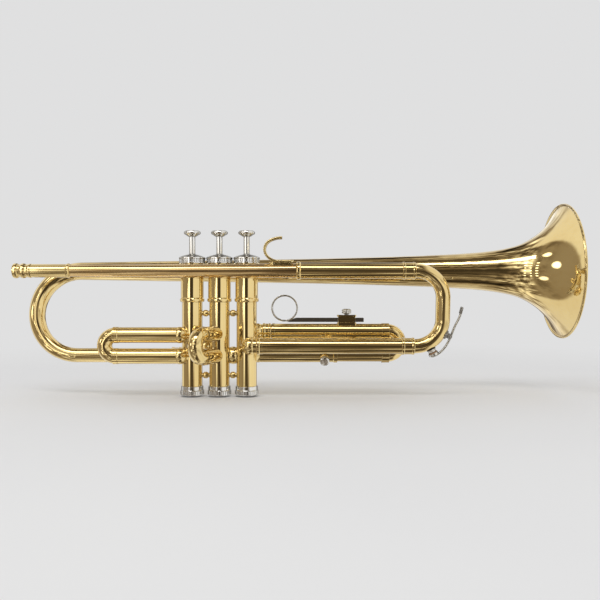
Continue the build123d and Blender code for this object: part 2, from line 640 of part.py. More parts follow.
FIRST_COLLAR_R = 7.1
with BuildPart() as first_slide_bow:
    return_bow(Plane(origin=(FIRST_BOW_X, *FIRST_AXES[0]), z_dir=(-1, 0, 0)),
               [z for _, z in FIRST_AXES])
    for axis in FIRST_AXES:
        x_tube(FIRST_BOW_X, FIRST_INNER_X, axis, VALVE_BOW_R, IN_IN_R)
        x_tube(FIRST_BOW_X - 1.4, FIRST_X1, axis, FIRST_COLLAR_R, COLLAR_BORE_R)
    for axis in FIRST_AXES:
        x_tube(FIRST_INNER_X, FIRST_X1, axis, FIRST_COLLAR_R, IN_R)
save(first_slide_bow, "first_slide_bow")

# ----------------------------------------------------------------------- second slide
SECOND_COLLAR_R = 7.15
SECOND_COLLAR_L = 2.4
with BuildPart() as second_slide_outer_tubes:
    for z in SECOND_Z:
        tube(second_plane(2, z), SECOND_OUT - 2, OUT_R, OUT_IN_R)
        tube(second_plane(SECOND_OUT - SECOND_COLLAR_L, z), SECOND_COLLAR_L,
             SECOND_COLLAR_R, OUT_IN_R)
    casing_void(1)
save(second_slide_outer_tubes, "second_slide_outer_tubes")

with BuildPart() as second_slide_inner_tubes:
    for z in SECOND_Z:
        tube(second_plane(10.5, z), SECOND_INNER_OUT - 10.5, IN_R, IN_IN_R)
save(second_slide_inner_tubes, "second_slide_inner_tubes")

with BuildPart() as second_slide_bow:
    return_bow(second_plane(SECOND_BOW, SECOND_Z[0]), SECOND_Z)
    for z in SECOND_Z:
        tube(second_plane(SECOND_INNER_OUT, z), SECOND_BOW - SECOND_INNER_OUT, VALVE_BOW_R,
             IN_IN_R)
        tube(second_plane(SECOND_OUT, z), SECOND_COLLAR_L, SECOND_COLLAR_R, IN_R)
        tube(second_plane(SECOND_INNER_OUT, z), 1.4, SECOND_COLLAR_R, COLLAR_BORE_R)
save(second_slide_bow, "second_slide_bow")

# ------------------------------------------------------------------------ third slide
THIRD_FIXED_LEG_END = 300.0
with BuildPart() as third_slide_inner_tube:
    # fixed leg that carries the moving upper tube
    x_tube(THIRD_ELBOW_X, THIRD_FIXED_LEG_END, THIRD_AXES[0], IN_R)
    elbow(THIRD_ELBOWS[0], 2, 1)
    turned(x_section(THIRD_AXES[0]), [
        (213.2, 6.0), (213.2, 7.0), (214.0, 7.4), (215.2, 7.4), (216.0, 7.0), (218.4, 7.0),
        (219.0, 7.3), (220.2, 7.3), (220.8, 6.8), (220.8, 6.0)])
    x_bore(THIRD_ELBOW_X, THIRD_FIXED_LEG_END, THIRD_AXES[0], IN_IN_R)
    elbow_bore(THIRD_ELBOWS[0], 2, 1)
    casing_void(2, joint=THIRD_ELBOWS[0])
save(third_slide_inner_tube, "third_slide_inner_tube")

with BuildPart() as third_slide_outer_tube:
    x_tube(THIRD_ELBOW_X, THIRD_LOW_END, THIRD_AXES[1], OUT_R)
    elbow(THIRD_ELBOWS[1], 2, 1)
    turned(x_section(THIRD_AXES[1]), [
        (276.4, 6.5), (276.4, OUT_R), (277.0, 7.3), (THIRD_LOW_END, 7.3),
        (THIRD_LOW_END, 6.5)])
    x_bore(214.0, THIRD_LOW_END, THIRD_AXES[1], OUT_IN_R)
    x_bore(THIRD_ELBOW_X, THIRD_ELBOW_X + 8.0, THIRD_AXES[1], BORE_R)
    elbow_bore(THIRD_ELBOWS[1], 2, 1)
    casing_void(2, joint=THIRD_ELBOWS[1])
save(third_slide_outer_tube, "third_slide_outer_tube")

with BuildPart() as third_slide_moving_tubes:
    x_tube(THIRD_UPPER_X0, THIRD_TUBE_END, THIRD_AXES[0], OUT_R, OUT_IN_R)
    x_tube(THIRD_UPPER_X0, THIRD_UPPER_X0 + 2.2, THIRD_AXES[0], 7.2, OUT_IN_R)
    x_tube(216.0, THIRD_TUBE_END, THIRD_AXES[1], IN_R, IN_IN_R)
save(third_slide_moving_tubes, "third_slide_moving_tubes")

THIRD_COLLAR_R = 7.25
with BuildPart() as third_slide_bow:
    return_bow(x_plane(THIRD_BOW_X, *THIRD_AXES[0]), THIRD_Z)
    for axis, leg_r in zip(THIRD_AXES, (OUT_R, IN_R)):
        x_tube(THIRD_TUBE_END, THIRD_BOW_X, axis, VALVE_BOW_R, IN_IN_R)
        x_tube(THIRD_TUBE_END, THIRD_TUBE_END + 3.4, axis, THIRD_COLLAR_R, COLLAR_BORE_R)
        x_tube(THIRD_TUBE_END - 3.0, THIRD_TUBE_END, axis, THIRD_COLLAR_R, leg_r)
save(third_slide_bow, "third_slide_bow")

THIRD_BRACE_X = 294.5
BRACE_FOOT_H = 0.9
with BuildPart() as third_slide_brace:
    # upright rod between the moving tubes, with a ball at its middle and two round feet
    upper_end = THIRD_Z[0] - 3
    lower_end = THIRD_Z[1] + 3
    upper_face = THIRD_Z[0] - OUT_R
    lower_face = THIRD_Z[1] + IN_R
    rod_between((THIRD_BRACE_X, THIRD_Y, upper_end), (THIRD_BRACE_X, THIRD_Y, lower_end), 1.7)
    ball(THIRD_BRACE_X, THIRD_Y, (upper_face + lower_face) / 2, 2.3)
    for start, end in ((upper_end, upper_face - BRACE_FOOT_H),
                       (lower_end, lower_face + BRACE_FOOT_H)):
        rod_between((THIRD_BRACE_X, THIRD_Y, start), (THIRD_BRACE_X, THIRD_Y, end), 3.8)
    x_bore(285, 305, THIRD_AXES[0], OUT_R)
    x_bore(285, 305, THIRD_AXES[1], IN_R)
save(third_slide_brace, "third_slide_brace")

# ------------------------------------------------------- third slide's ring and clamp
RING_X, RING_Z, RING_R = 233.0, -32.5, 12.0
RING_BORE_R = RING_R - 1.5
RING_W = 6.4
BAR_Z = -43.0
BAR_H, BAR_T = 3.8, 2.6     # flat bar that carries the ring
BAR_END_X = 304.0
CLAMP_X0, CLAMP_X1 = 280.2, 297.0
CLAMP_TOP = BAR_Z + 4.4
SCREW_X = 288.6

with BuildPart() as ring_clamp:
    # block soldered on the moving tube, slotted for the ring's bar
    block_top = BAR_Z + 4.0
    with BuildSketch(x_plane(CLAMP_X0 + 0.9, THIRD_Y, 0)) as block:
        with Locations((0, (block_top + THIRD_Z[0]) / 2)):
            Rectangle(7.6, block_top - THIRD_Z[0])
    extrude(block.sketch, amount=CLAMP_X1 - CLAMP_X0 - 1.8)
    for low, high in ((BAR_Z + 2.9, CLAMP_TOP), (THIRD_Z[0], THIRD_Z[0] + OUT_R + 1.0)):
        with BuildSketch(Plane(origin=((CLAMP_X0 + CLAMP_X1) / 2, THIRD_Y, low))) as plate:
            RectangleRounded(CLAMP_X1 - CLAMP_X0, 9.2, 0.9)
        extrude(plate.sketch, amount=high - low)
    x_bore(CLAMP_X0 - 1, CLAMP_X0 + 19, THIRD_AXES[0], OUT_R)
    with BuildSketch(x_plane(CLAMP_X0 - 1, THIRD_Y, BAR_Z)) as bar_slot:
        Rectangle(BAR_T + 0.1, BAR_H + 0.1)
    extrude(bar_slot.sketch, amount=20, mode=Mode.SUBTRACT)
    tube(Plane(origin=(SCREW_X, THIRD_Y, BAR_Z)), 8, 1.25, mode=Mode.SUBTRACT)
save(ring_clamp, "ring_clamp")

with BuildPart() as finger_ring:
    with BuildSketch(Plane(origin=(RING_X, THIRD_Y + RING_W / 2, RING_Z), x_dir=(1, 0, 0),
                           z_dir=(0, -1, 0))) as band:
        Circle(RING_R)
        Circle(RING_BORE_R, mode=Mode.SUBTRACT)
    extrude(band.sketch, amount=RING_W)
    fillet(finger_ring.edges(), radius=0.55)
    with BuildSketch(x_section((THIRD_Y + BAR_T / 2, BAR_Z))) as bar:
        with BuildLine():
            Polyline((RING_X + 2.0, -BAR_H / 2), (BAR_END_X - 0.4, -BAR_H / 2),
                     (BAR_END_X, 0.4 - BAR_H / 2), (BAR_END_X, BAR_H / 2 - 0.4),
                     (BAR_END_X - 0.4, BAR_H / 2), (RING_X + 10.5, BAR_H / 2),
                     (RING_X + 8.0, 1.2), close=True)
        make_face()
    extrude(bar.sketch, amount=BAR_T)
    # clears the end of the bar out of the ring's hole
    tube(Plane(origin=(RING_X, THIRD_Y + 5, RING_Z), z_dir=(0, -1, 0)), 10, RING_BORE_R,
         mode=Mode.SUBTRACT)
save(finger_ring, "finger_ring")

with BuildPart() as clamp_screw:
    knurled_screw(Plane(origin=(SCREW_X, THIRD_Y, 0), x_dir=(0, 0, 1), z_dir=(0, 1, 0)),
                  tip=BAR_Z + BAR_H / 2 + 0.05, seat=CLAMP_TOP, shank_r=1.2, head_r=4.2,
                  head_h=5.4)
save(clamp_screw, "clamp_screw")

# ----------------------------------- music lyre socket on the third slide's fixed tube
LYRE_TILT = 67.0            # degrees the socket leans from straight down to the player's right
LYRE_DIR = Vector(0, -sin(radians(LYRE_TILT)), -cos(radians(LYRE_TILT)))
LYRE_X = 268.6
LYRE_ROOT = Vector(LYRE_X, *THIRD_AXES[1])
LYRE_SEAT = OUT_R + 3.1     # outer end of the socket, from the tube's axis


def lyre_point(reach):
    point = LYRE_ROOT + LYRE_DIR * reach
    return (point.X, point.Y, point.Z)


with BuildPart() as lyre_socket:
    rod_between(lyre_point(0), lyre_point(LYRE_SEAT), 3.4)
    x_bore(LYRE_X - 8, LYRE_X + 8, THIRD_AXES[1], OUT_R)
    rod_between(lyre_point(OUT_R + 0.8), lyre_point(OUT_R + 9), 1.55, mode=Mode.SUBTRACT)
save(lyre_socket, "lyre_socket")

with BuildPart() as lyre_screw:
    knurled_screw(Plane(origin=lyre_point(0), x_dir=LYRE_DIR, z_dir=(1, 0, 0)),
                  tip=OUT_R + 1.0, seat=LYRE_SEAT, shank_r=1.5, head_r=4.3, head_h=4.6)
save(lyre_screw, "lyre_screw")

# ------------------------------------------------------------------ main tuning slide
with BuildPart() as tuning_slide_inner_tubes:
    for axis in (LEADPIPE_AXIS, MAIN_LOW_AXIS):
        x_tube(MAIN_LEG_X0, MAIN_BOW_X0, axis, IN_R, IN_IN_R)
save(tuning_slide_inner_tubes, "tuning_slide_inner_tubes")

with BuildPart() as tuning_slide_ferrules:
    for axis in (LEADPIPE_AXIS, MAIN_LOW_AXIS):
        turned(x_section(axis), [
            (SLIDE_X0, IN_R), (SLIDE_X0, 7.2), (335.5, 7.6), (336.9, 7.6), (337.4, 7.2),
            (343.9, 7.2), (344.4, 7.55), (345.7, 7.55), (346.2, 7.1), (346.2, BOW_R),
            (MAIN_BOW_X0, BOW_R), (MAIN_BOW_X0, IN_R)])
save(tuning_slide_ferrules, "tuning_slide_ferrules")

# corner centre of the lower bend, in the slide's own plane
CORNER = (MAIN_CORNER_X, -(MAIN_SEP - MAIN_CORNER_R))
with BuildPart() as tuning_slide_bow:
    with BuildLine(SLIDE_PLANE) as bow_line:
        front_x = MAIN_CORNER_X + MAIN_CORNER_R
        inset = MAIN_CORNER_R * (1 - cos(radians(45)))      # of each corner's mid point
        Line((MAIN_BOW_X0, 0), (MAIN_CORNER_X, 0))
        ThreePointArc((MAIN_CORNER_X, 0), (front_x - inset, -inset),
                      (front_x, -MAIN_CORNER_R))
        Line((front_x, -MAIN_CORNER_R), (front_x, CORNER[1]))
        ThreePointArc((front_x, CORNER[1]), (front_x - inset, -(MAIN_SEP - inset)),
                      (MAIN_CORNER_X, -MAIN_SEP))
        Line((MAIN_CORNER_X, -MAIN_SEP), (MAIN_BOW_X0, -MAIN_SEP))
    bent_tube(bow_line.line, x_plane(MAIN_BOW_X0, 0, 0), BOW_R, IN_IN_R)
save(tuning_slide_bow, "tuning_slide_bow")

# -------------------------------------------------------------------------- water key
KEY_SEAT_DEG = -62.0        # where the nipple sits on the corner
HINGE = (376.2, -56.8)      # hinge pin, in the slide's plane
PIN_R = 1.0
BEND_OUT_R = MAIN_CORNER_R + BOW_R
NIPPLE_LOW, NIPPLE_TOP = BOW_R - 0.3, BOW_R + 2.6
NIPPLE_BORE_R = 1.6
CORK_LOW, CORK_TOP = BOW_R + 2.65, BOW_R + 5.2
CORK_R = 3.7
CUP_R = 4.3
CUP_TOP = CORK_TOP + 1.0


def corner_point(deg, radius):
    """Point about the lower corner's centre, in the slide's plane."""
    return (CORNER[0] + radius * cos(radians(deg)), CORNER[1] + radius * sin(radians(deg)))


def slide_point(x, y, z=0.0):
    point = SLIDE_PLANE.from_local_coords((x, y, z))
    return (point.X, point.Y, point.Z)


def hinge_rod(z0, z1, radius, mode=Mode.ADD):
    """Rod along the hinge, between two heights off the slide's plane."""
    rod_between(slide_point(*HINGE, z0), slide_point(*HINGE, z1), radius, mode=mode)


seat_dir = SLIDE_PLANE.from_local_coords(
    (cos(radians(KEY_SEAT_DEG)), sin(radians(KEY_SEAT_DEG)), 0)) - SLIDE_PLANE.origin
SEAT_STAND = Plane(origin=slide_point(*corner_point(KEY_SEAT_DEG, MAIN_CORNER_R)),
                   x_dir=seat_dir, z_dir=SLIDE_PLANE.z_dir)
HINGE_DEG = degrees(atan2(HINGE[1] - CORNER[1], HINGE[0] - CORNER[0]))

with BuildPart() as water_key_saddle:
    # drip nipple on the bend, and the saddle whose two ears carry the hinge pin
    turned(SEAT_STAND, [(NIPPLE_LOW, NIPPLE_BORE_R), (NIPPLE_LOW, 4.4), (BOW_R + 0.8, 3.6),
                        (NIPPLE_TOP, 3.2), (NIPPLE_TOP, NIPPLE_BORE_R)])
    for side in (-1, 1):
        with BuildSketch(SLIDE_PLANE.offset(side * 3.6 - 0.65)) as ear:
            with Locations(HINGE):
                Circle(2.2)
            with Locations(Location((*corner_point(HINGE_DEG, BEND_OUT_R - 1.2), 0),
                                    (0, 0, HINGE_DEG))):
                Rectangle(7.6, 4.4)
        extrude(ear.sketch, amount=1.3)
    with BuildSketch(SLIDE_PLANE.offset(-4.25)) as saddle_foot:
        with Locations(Location((*corner_point(HINGE_DEG, BEND_OUT_R - 1.6), 0),
                                (0, 0, HINGE_DEG))):
            Rectangle(3.6, 7.4)
    extrude(saddle_foot.sketch, amount=8.5)
    # hollowed to the bend it is soldered on
    with BuildLine(SLIDE_PLANE) as bend:
        ThreePointArc(corner_point(-95, MAIN_CORNER_R), corner_point(-45, MAIN_CORNER_R),
                      corner_point(5, MAIN_CORNER_R))
    with BuildSketch(Plane(origin=bend.line @ 0, z_dir=bend.line % 0)) as bend_disc:
        Circle(BOW_R)
    sweep(bend_disc.sketch, path=bend.line, mode=Mode.SUBTRACT)
    hinge_rod(-6, 6, PIN_R, mode=Mode.SUBTRACT)
save(water_key_saddle, "water_key_saddle")

with BuildPart() as water_key_pin:
    hinge_rod(-4.6, 4.3, PIN_R)
    hinge_rod(4.26, 5.3, 1.9)
save(water_key_pin, "water_key_pin")

with BuildPart() as water_key_cork:
    turned(SEAT_STAND, [(CORK_LOW, 0), (CORK_LOW, CORK_R), (CORK_TOP, CORK_R), (CORK_TOP, 0)])
save(water_key_cork, "water_key_cork")

with BuildPart() as water_key:
    # cup for the cork, arm round the bend, hinge barrel and thumb lever
    turned(SEAT_STAND, [
        (CORK_LOW + 0.9, CORK_R), (CORK_LOW + 0.9, CUP_R), (CORK_TOP + 0.5, CUP_R),
        (CUP_TOP, 3.4), (CUP_TOP, 0), (CORK_TOP, 0), (CORK_TOP, CORK_R)])
    with BuildLine(SLIDE_PLANE) as arm:
        Spline(corner_point(KEY_SEAT_DEG - 3, MAIN_CORNER_R + CUP_TOP),
               corner_point(-44, BEND_OUT_R + 6.0),
               (HINGE[0] + 2.2, HINGE[1] + 0.4),
               (381.6, -48.0), (385.0, -41.0), (386.6, -34.2))
    with BuildSketch(Plane(origin=arm.line @ 0, x_dir=SLIDE_PLANE.z_dir,
                           z_dir=arm.line % 0)) as arm_strip:
        RectangleRounded(3.0, 1.7, 0.6)
    sweep(arm_strip.sketch, path=arm.line)
    hinge_rod(-2.6, 1.4, 2.3)
    with BuildSketch(SLIDE_PLANE.offset(-2.7)) as thumb_pad:
        with Locations(Location((386.6, -34.4, 0), (0, 0, 76))):
            SlotOverall(6.4, 1.6)
    extrude(thumb_pad.sketch, amount=5.4)
    hinge_rod(-6, 6, PIN_R + 0.03, mode=Mode.SUBTRACT)
    # room for the cork
    turned(SEAT_STAND, [(CORK_LOW - 2, 0), (CORK_LOW - 2, CORK_R + 0.02),
                        (CORK_TOP, CORK_R + 0.02), (CORK_TOP, 0)], mode=Mode.SUBTRACT)
save(water_key, "water_key")

with BuildPart() as water_key_spring:
    coil(0.24, pitch=0.55, height=0.6, radius=1.75, center=slide_point(*HINGE, 1.9),
         direction=SLIDE_PLANE.z_dir)
save(water_key_spring, "water_key_spring")

# ------------------------------------------------------------------- hook and braces
with BuildPart() as finger_hook:
    # strap rolled over into a hook for the little finger, on a foot soldered to the leadpipe
    with BuildLine(x_section(LEADPIPE_AXIS)) as strap:
        Spline((241.0, 7.7), (232.0, 7.9), (224.0, 8.9), (218.4, 12.8), (216.3, 18.2),
               (218.2, 23.6), (223.8, 27.2), (231.4, 28.4))
    with BuildSketch(Plane(origin=strap.line @ 0, x_dir=(0, 1, 0),
                           z_dir=strap.line % 0)) as strap_section:
        RectangleRounded(7.0, 2.3, 0.9)
    sweep(strap_section.sketch, path=strap.line)
    with BuildSketch(Plane(origin=(231.5, 0, 4.0))) as hook_foot:
        SlotOverall(23.0, 8.0)
    extrude(hook_foot.sketch, amount=3.2)
    leadpipe_void(206.0, 244.0)
    # square front end, short of the leadpipe ferrule
    with BuildSketch(x_plane(239.8, 0, 0)) as trim:
        Rectangle(16, 16)
    extrude(trim.sketch, amount=8, mode=Mode.SUBTRACT)
save(finger_hook, "finger_hook")

# Stays from leadpipe to bell: (x, radius of the tube at the leadpipe end).
STAYS = ((70.0, 5.2), (284.0, OUT_R))
STAY_R = 1.9
STAY_FOOT_R = 4.4
STUB_X = (VALVE_X[0], VALVE_X[2])
with BuildPart() as bell_braces:
    # the two stays, and four stubs that hold the casings between them
    for x, tube_r in STAYS:
        bell_side = BELL_AXIS[0] - bell_radius(x)
        turned(Plane(origin=(x, 0, 0.6), x_dir=(0, 1, 0), z_dir=(1, 0, 0)), [
            (3.0, 0), (3.0, STAY_FOOT_R), (tube_r + 0.9, STAY_FOOT_R), (tube_r + 1.7, 2.6),
            (tube_r + 3.4, STAY_R), (17.5, STAY_R), (18.6, 2.9), (19.6, 3.3), (20.6, 2.9),
            (21.7, STAY_R), (bell_side - 3.4, STAY_R), (bell_side - 1.7, 2.6),
            (bell_side - 0.9, STAY_FOOT_R), (36.0, STAY_FOOT_R), (36.0, 0)])
    for x in STUB_X:
        rod_between((x, 2, 0.4), (x, 38, 0.4), 2.6)
    for valve in (0, 2):
        casing_void(valve, BALUSTER_R)
    leadpipe_void(50.0, 210.0)
    x_bore(262, 302, LEADPIPE_AXIS, OUT_R)
    for x in (70.0, 284.0, *STUB_X):
        x_bore(x - 9, x + 9, BELL_AXIS, bell_radius(x + 4.4) + 0.02)
save(bell_braces, "bell_braces")
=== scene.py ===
"""Looks, studio and camera for a trumpet loaded from its CAD pieces.

The trumpet lies along X with the bell towards +X and the player towards -X. Its valves stand
along Z, and the player's right side faces -Y, where the camera stands. Metres, +Z up.
"""
import json
import math

import bpy
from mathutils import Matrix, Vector


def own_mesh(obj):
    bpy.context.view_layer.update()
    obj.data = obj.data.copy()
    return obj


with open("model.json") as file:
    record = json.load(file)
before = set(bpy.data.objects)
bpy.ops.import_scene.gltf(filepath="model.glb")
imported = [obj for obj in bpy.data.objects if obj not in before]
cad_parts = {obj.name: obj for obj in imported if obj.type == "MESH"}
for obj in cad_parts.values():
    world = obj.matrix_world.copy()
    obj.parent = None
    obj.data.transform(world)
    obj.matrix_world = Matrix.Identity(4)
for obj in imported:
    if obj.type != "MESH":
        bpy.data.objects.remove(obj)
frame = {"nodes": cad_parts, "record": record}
NODES = frame["nodes"]
SLOT_OF = {part["node"]: part["material_slot"] for part in frame["record"]["subparts"]}
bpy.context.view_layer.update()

CENTRE = Vector((0.24, 0.02, -0.03))    # middle of the scene, where the key light aims
FLOOR_Z = -0.1105
FLOOR_SIZE = 14
BACK = 0.745
BACKDROP = (BACK, BACK, BACK * 1.003)
DEGREES = 180 / math.pi


# ------------------------------------------------------------------ node-graph helpers
class Signal:
    """A node output; arithmetic on it adds Math nodes, with the operands in written order."""

    def __init__(self, graph, socket):
        self.graph = graph
        self.socket = socket

    def __add__(self, other):
        return self.graph.calc("ADD", self, other)

    def __radd__(self, other):
        return self.graph.calc("ADD", other, self)

    def __sub__(self, other):
        return self.graph.calc("SUBTRACT", self, other)

    def __rsub__(self, other):
        return self.graph.calc("SUBTRACT", other, self)

    def __mul__(self, other):
        return self.graph.calc("MULTIPLY", self, other)

    def __rmul__(self, other):
        return self.graph.calc("MULTIPLY", other, self)

    def __truediv__(self, other):
        return self.graph.calc("DIVIDE", self, other)

    def __pow__(self, other):
        return self.graph.calc("POWER", self, other)

    def __abs__(self):
        return self.graph.calc("ABSOLUTE", self)


class Graph:
    """Makes and links the shader nodes of a material or a world."""

    def __init__(self, owner, output_kind):
        owner.use_nodes = True
        self.tree = owner.node_tree
        self.tree.nodes.clear()
        self.output = self.node(output_kind)

    def put(self, value, socket):
        """Link a signal to a socket, or set a plain value; None keeps the socket's default."""
        if isinstance(value, Signal):
            self.tree.links.new(value.socket, socket)
        elif value is not None:
            socket.default_value = (*value, 1.0) if socket.type == "RGBA" else value

    def node(self, kind, inputs=None, **settings):
        node = self.tree.nodes.new("ShaderNode" + kind)
        for key, value in settings.items():
            setattr(node, key, value)
        for key, value in (inputs or {}).items():
            self.put(value, node.inputs[key])
        return node

    def make(self, kind, inputs=None, out=0, **settings):
        """Add a node and return one of its outputs."""
        return Signal(self, self.node(kind, inputs, **settings).outputs[out])

    def surface(self, shader):
        self.put(shader, self.output.inputs["Surface"])

    def coords(self, kind="Object"):
        return self.make("TexCoord", out=kind)

    def split(self, vector):
        return [Signal(self, s) for s in self.node("SeparateXYZ", {"Vector": vector}).outputs]

    def mapping(self, vector, scale, rotation=(0, 0, 0)):
        return self.make("Mapping", {"Vector": vector, "Scale": scale, "Rotation": rotation})

    def noise(self, vector, scale, detail=3.0, rough=0.55, distort=0.0):
        inputs = {"Vector": vector, "Scale": scale, "Detail": detail, "Roughness": rough,
                  "Distortion": distort}
        return self.make("TexNoise", inputs, out="Fac")

    def calc(self, operation, *values):
        return self.make("Math", dict(enumerate(values)), operation=operation)

    def remap(self, value, source, target=(0.0, 1.0), curve="LINEAR"):
        """Map the source range of a value onto the target range."""
        inputs = {"Value": value, "From Min": source[0], "From Max": source[1],
                  "To Min": target[0], "To Max": target[1]}
        return self.make("MapRange", inputs, interpolation_type=curve)

    def fade(self, value, source, target):
        return self.remap(value, source, target, curve="SMOOTHSTEP")

    def rise(self, value, start, end):
        return self.fade(value, (start, end), (0.0, 1.0))

    def fall(self, value, start, end):
        return self.fade(value, (start, end), (1.0, 0.0))

    def band(self, value, centre, half, soft):
        """1 inside centre +- half, falling to 0 over soft."""
        return self.fall(abs(value - centre), half, half + soft)

    def mix(self, factor, first, second):
        # sockets of the colour mix: 0 factor, 6 and 7 the colours, output 2 the result
        return self.make("Mix", {0: factor, 6: first, 7: second}, out=2, data_type="RGBA")

    def mix_shader(self, factor, first, second):
        return self.make("MixShader", {0: factor, 1: first, 2: second})

    def ramp(self, factor, stops):
        """Colour ramp; stops are (position, colour)."""
        node = self.node("ValToRGB", {"Fac": factor})
        elements = node.color_ramp.elements
        while len(elements) < len(stops):
            elements.new(0.5)
        for element, (position, color) in zip(elements, stops):
            element.position = position
            element.color = (*color, 1.0)
        return Signal(self, node.outputs["Color"])

    def bump(self, height, strength, distance, normal=None):
        return self.make("Bump", {"Strength": strength, "Distance": distance,
                                  "Height": height, "Normal": normal})

    def bevel(self, radius, samples):
        return self.make("Bevel", {"Radius": radius}, samples=samples)

    def occlusion(self, distance):
        return self.make("AmbientOcclusion", {"Distance": distance}, out="AO", samples=6)

    def principled(self, **inputs):
        return self.make("BsdfPrincipled", {k.replace("_", " "): v for k, v in inputs.items()})


class Material(Graph):
    def __init__(self, name):
        self.material = bpy.data.materials.new(name)
        super().__init__(self.material, "OutputMaterial")


def scaled(color, factors):
    return tuple(channel * factor for channel, factor in zip(color, factors))


# -------------------------------------------------------------------------- materials
# grain: texture scale per axis; a small value draws the grain out along that axis
EVEN = (1.0, 1.0, 1.0)
TUBE_X = (0.06, 1.0, 1.0)
TUBE_Z = (1.0, 1.0, 0.06)


def brass(name, grain=EVEN, color=(0.93, 0.725, 0.33), deep=(0.74, 0.50, 0.17),
          rough=0.035, wave=0.5):
    """Gold-lacquered brass: drawn or spun grain under a clear coat; the joints are tarnished
    brown and rougher, and darkened with painted shade.
    """
    m = Material(name)
    place = m.coords()
    grained = m.mapping(place, scale=grain)
    fine = m.noise(grained, scale=900.0, detail=4.0, rough=0.6)
    streak = m.noise(grained, scale=260.0, rough=0.5)
    cloud = m.noise(place, scale=22.0, rough=0.5)
    soft = m.noise(place, scale=60.0, detail=2.0, rough=0.5)
    # painted shade and grime: ambient occlusion marks the shaded joints and recesses, which get a
    # darker colour and a rougher surface
    shade_and_grime = m.fall(m.occlusion(distance=0.0022), 0.25, 0.85)
    speckle = m.noise(place, scale=700.0, detail=2.0, rough=0.5)
    spots = m.fade(speckle, (0.69, 0.76), (0.0, 0.35))

    tint = m.mix(m.remap(cloud, (0.35, 0.68)), color, scaled(color, (0.94, 0.90, 0.84)))
    tint = m.mix(m.remap(streak, (0.45, 0.75), (0.0, 0.22)), tint, deep)
    tint = m.mix(spots, tint, deep)
    # painted shade: the colour turns dark brown where ambient occlusion finds the joints shaded
    tint = m.mix(shade_and_grime, tint, scaled(deep, (0.45,) * 3))
    # painted reflection: where brass is seen mirrored in another tube its colour is swapped for a
    # paler one, so the gaps between the tubes stay golden
    glossy = m.make("LightPath", out="Is Glossy Ray")
    tint = m.mix(glossy * 0.6, tint, (0.80, 0.72, 0.50))

    roughness = (m.remap(streak, (0.3, 0.7), (rough * 0.7, rough * 1.5))
                 + m.remap(soft, (0.45, 0.75), (0.0, 0.03))
                 + shade_and_grime * 0.30)
    normal = m.bevel(radius=0.00022, samples=3)
    normal = m.bump(soft, strength=0.10 * wave, distance=0.0005, normal=normal)
    normal = m.bump(fine, strength=0.02, distance=0.00004, normal=normal)
    m.surface(m.principled(Base_Color=tint, Metallic=1.0, Roughness=roughness, Normal=normal,
                           Coat_Weight=0.5, Coat_Roughness=0.02, Coat_IOR=1.5))
    return m.material


def nickel(name, color=(0.86, 0.85, 0.82), rough=0.05, grain=EVEN):
    """Polished plate, rougher in the joints and darkened there with painted shade."""
    m = Material(name)
    place = m.coords()
    streak = m.noise(m.mapping(place, scale=grain), scale=700.0, detail=4.0, rough=0.6)
    cloud = m.noise(place, scale=80.0, rough=0.5)
    shade_and_grime = m.fall(m.occlusion(distance=0.0018), 0.35, 0.97)

    tint = m.mix(m.remap(cloud, (0.35, 0.7)), color, scaled(color, (0.93, 0.90, 0.84)))
    # painted shade: the colour falls to about a fifth where ambient occlusion finds the joints
    # shaded
    tint = m.mix(shade_and_grime, tint, scaled(color, (0.22,) * 3))
    # painted reflection: the colour darkens towards the plate's outline, standing in for the dark
    # room mirrored there
    facing = m.make("LayerWeight", {"Blend": 0.5}, out="Facing")
    painted_edge_reflection = m.fade(facing, (0.40, 0.66), (0.0, 0.85))
    tint = m.mix(painted_edge_reflection, tint, scaled(color, (0.16,) * 3))

    roughness = m.remap(streak, (0.3, 0.7), (rough * 0.7, rough * 1.5)) + shade_and_grime * 0.3
    normal = m.bump(streak, strength=0.05, distance=0.00004,
                    normal=m.bevel(radius=0.0002, samples=4))
    m.surface(m.principled(Base_Color=tint, Metallic=1.0, Roughness=roughness, Normal=normal))
    return m.material


def cork(name):
    """Brown grain with dark pits."""
    m = Material(name)
    place = m.coords()
    cells = m.make("TexVoronoi", {"Vector": place, "Scale": 1400.0}, out="Distance")
    grain = m.noise(place, scale=2600.0, rough=0.6)
    tint = m.ramp(grain, [(0.25, (0.20, 0.10, 0.05)), (0.55, (0.46, 0.27, 0.15)),
                          (0.85, (0.62, 0.40, 0.24))])
    tint = m.mix(m.remap(cells, (0.0, 0.35), (0.7, 0.0)), tint, (0.12, 0.06, 0.03))
    normal = m.bump(cells, strength=0.5, distance=0.0001,
                    normal=m.bump(grain, strength=0.4, distance=0.00008))
    m.surface(m.principled(Base_Color=tint, Roughness=0.86, Normal=normal,
                           Specular_IOR_Level=0.25))
    return m.material


def pearl(name):
    """Mother-of-pearl: warped pastel layers under a clear coat."""
    m = Material(name)
    place = m.coords()
    warp = m.noise(place, scale=210.0, rough=0.6, distort=1.2)
    layered = m.mapping(place, scale=(1.0, 2.6, 1.0), rotation=(0, 0, 0.6))
    layers = m.noise(layered, scale=330.0, detail=4.0, rough=0.6, distort=1.6)
    tint = m.ramp(warp, [(0.30, (0.78, 0.80, 0.83)), (0.46, (0.90, 0.87, 0.82)),
                         (0.58, (0.84, 0.76, 0.78)), (0.70, (0.76, 0.84, 0.80))])
    tint = m.mix(m.remap(layers, (0.4, 0.7), (0.0, 0.35)), tint, (0.97, 0.96, 0.93))
    m.surface(m.principled(
        Base_Color=tint, Metallic=0.25, Roughness=m.remap(layers, (0.3, 0.7), (0.14, 0.3)),
        Normal=m.bump(layers, strength=0.12, distance=0.0001),
        Coat_Weight=1.0, Coat_Roughness=0.06, Sheen_Weight=0.2))
    return m.material


